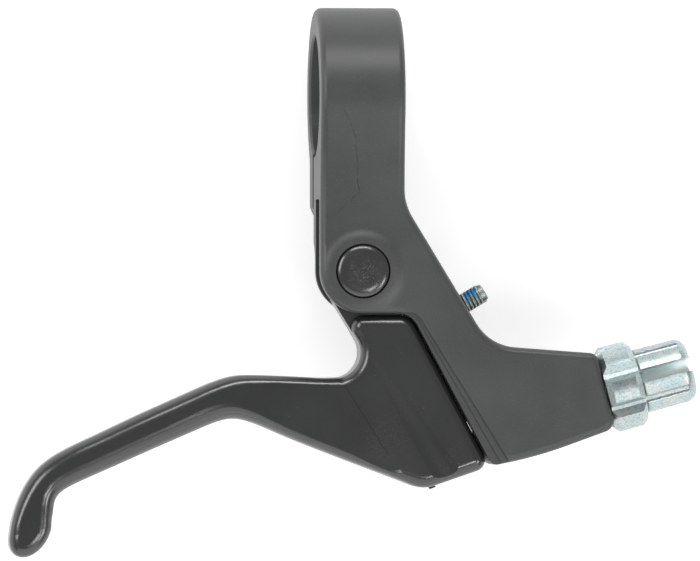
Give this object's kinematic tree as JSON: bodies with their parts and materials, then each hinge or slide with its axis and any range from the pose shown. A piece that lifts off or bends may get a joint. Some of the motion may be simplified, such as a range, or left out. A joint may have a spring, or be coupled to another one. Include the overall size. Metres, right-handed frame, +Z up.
{
  "type": "bicycle brake lever",
  "caption": "Flat-bar brake lever: split handlebar clamp, forked bracket, hinged finger blade with bulbed tip, barrel adjuster with lock ring, reach screw.",
  "frame": {"origin": "centre of the handlebar bore, half way along it", "axes": "+X along the handlebar towards the cable side, +Y away from the lever blade towards the rider, +Z up from the bracket's visible face"},
  "size_m": [0.1271, 0.1012, 0.0324],
  "materials": {
    "black_casting": "satin black coat on cast aluminium",
    "black_blade": "satin black coat on cast aluminium",
    "black_steel": "black oxide steel",
    "bush": "plain bronze",
    "washer": "moulded acetal",
    "spring_steel": "drawn spring wire",
    "zinc": "bright zinc plate with a faint blue tone"
  },
  "bodies": {
    "bracket": {"lever_body": "black_casting", "clamp_bolt": "black_steel", "pivot_axle": "black_steel", "pivot_screw": "black_steel", "front_thrust_washer": "washer", "rear_thrust_washer": "washer", "return_spring": "spring_steel"},
    "lever": {"lever_blade": "black_blade", "pivot_bush": "bush"},
    "adjuster": {"barrel_adjuster": "zinc"},
    "ring": {"lock_ring": "zinc"},
    "reach": {"reach_screw": "zinc"}
  },
  "joints": [
    {"name": "lever_pull", "type": "hinge", "parent": "bracket", "child": "lever", "pos_m": [0, -0.0324, 0.00725], "axis": [0, 0, -1], "range_deg": [0, 40], "stiffness_Nm_per_rad": 0.12, "springref_deg": -28.65, "deforming": ["return_spring"]},
    {"name": "barrel_travel", "type": "slide", "parent": "bracket", "child": "adjuster", "axis": [0.9659, 0.2588, 0], "range_m": [0, 0.006]},
    {"name": "lock_ring_turn", "type": "hinge", "parent": "adjuster", "child": "ring", "pos_m": [0.04508, -0.05459, 0.00725], "axis": [0.9659, 0.2588, 0], "continuous": true},
    {"name": "reach_travel", "type": "slide", "parent": "bracket", "child": "reach", "axis": [0.8554, 0.518, 0], "range_m": [-0.001, 0.004]}
  ]
}
